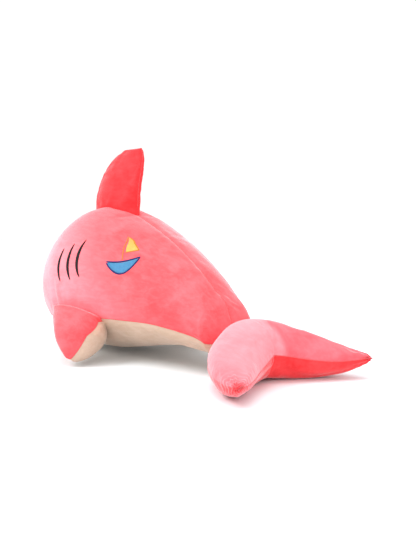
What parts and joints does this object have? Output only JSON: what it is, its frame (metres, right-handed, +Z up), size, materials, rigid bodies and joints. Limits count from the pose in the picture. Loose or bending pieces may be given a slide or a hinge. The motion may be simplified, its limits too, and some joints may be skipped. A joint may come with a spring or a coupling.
{
  "type": "plush shark",
  "caption": "Soft stuffed shark with a rounded body, bending dorsal fin, flapping pectoral fins, swinging crescent tail fin and embroidered gills and sailing boat",
  "frame": {"origin": "on the ground under the middle of the whole shark's box, with the lowest point of the tail fin on z = 0", "axes": "+Z up, nose towards -Y and tail towards +Y, the shark's own left side towards +X"},
  "size_m": [0.3512, 0.6402, 0.3645],
  "materials": {
    "pink_velour": "short nap velour, coral pink",
    "cream_velour": "short nap velour, cream",
    "filling": "white polyester fibre",
    "seam_thread": "matt sewing thread, coral",
    "black_thread": "satin embroidery thread, black",
    "navy_thread": "satin embroidery thread, navy",
    "blue_thread": "satin embroidery thread, sky blue",
    "yellow_thread": "satin embroidery thread, yellow",
    "ochre_thread": "satin embroidery thread, ochre",
    "eye_plastic": "polished black dome"
  },
  "bodies": {
    "torso": {"body_side_left": "pink_velour", "body_side_right": "pink_velour", "belly_panel": "cream_velour", "body_stuffing": "filling", "back_seam": "seam_thread", "belly_seam_left": "seam_thread", "belly_seam_right": "seam_thread", "gill_left_front": "black_thread", "gill_left_middle": "black_thread", "gill_left_rear": "black_thread", "gill_right_front": "black_thread", "gill_right_middle": "black_thread", "gill_right_rear": "black_thread", "boat_hull": "blue_thread", "boat_outline": "navy_thread", "boat_mast": "ochre_thread", "boat_sail": "yellow_thread", "boat_sail_edge": "ochre_thread", "eye_left": "eye_plastic", "eye_right": "eye_plastic", "mouth_line": "black_thread"},
    "dorsal_fin": {"dorsal_left": "pink_velour", "dorsal_right": "pink_velour", "dorsal_stuffing": "filling", "dorsal_seam": "seam_thread"},
    "pectoral_left": {"pectoral_left_top": "pink_velour", "pectoral_left_under": "cream_velour", "pectoral_left_stuffing": "filling", "pectoral_left_seam": "seam_thread"},
    "pectoral_right": {"pectoral_right_top": "pink_velour", "pectoral_right_under": "cream_velour", "pectoral_right_stuffing": "filling", "pectoral_right_seam": "seam_thread"},
    "tail_root": {"tail_root_seam": "seam_thread"},
    "tail_fin": {"tail_top": "pink_velour", "tail_under": "pink_velour", "tail_stuffing": "filling", "tail_seam": "seam_thread"}
  },
  "joints": [
    {"name": "dorsal_fin_bend", "type": "hinge", "parent": "torso", "child": "dorsal_fin", "pos_m": [0, -0.154, 0.259], "axis": [0, 0.9945, 0.1045], "range_deg": [-20, 20], "stiffness_Nm_per_rad": 0.6},
    {"name": "pectoral_left_flap", "type": "hinge", "parent": "torso", "child": "pectoral_left", "pos_m": [0.116, -0.093, 0.073], "axis": [0.1392, -0.9903, 0], "range_deg": [-6, 35], "stiffness_Nm_per_rad": 2},
    {"name": "pectoral_right_flap", "type": "hinge", "parent": "torso", "child": "pectoral_right", "pos_m": [-0.116, -0.093, 0.073], "axis": [0.1392, 0.9903, 0], "range_deg": [-6, 35], "stiffness_Nm_per_rad": 2},
    {"name": "tail_wag", "type": "hinge", "parent": "torso", "child": "tail_root", "pos_m": [0, 0.164, 0.044], "axis": [0, 0, 1], "range_deg": [-20, 20], "stiffness_Nm_per_rad": 2},
    {"name": "tail_lift", "type": "hinge", "parent": "tail_root", "child": "tail_fin", "pos_m": [0, 0.164, 0.044], "axis": [1, 0, 0], "range_deg": [-10, 25], "stiffness_Nm_per_rad": 3}
  ]
}
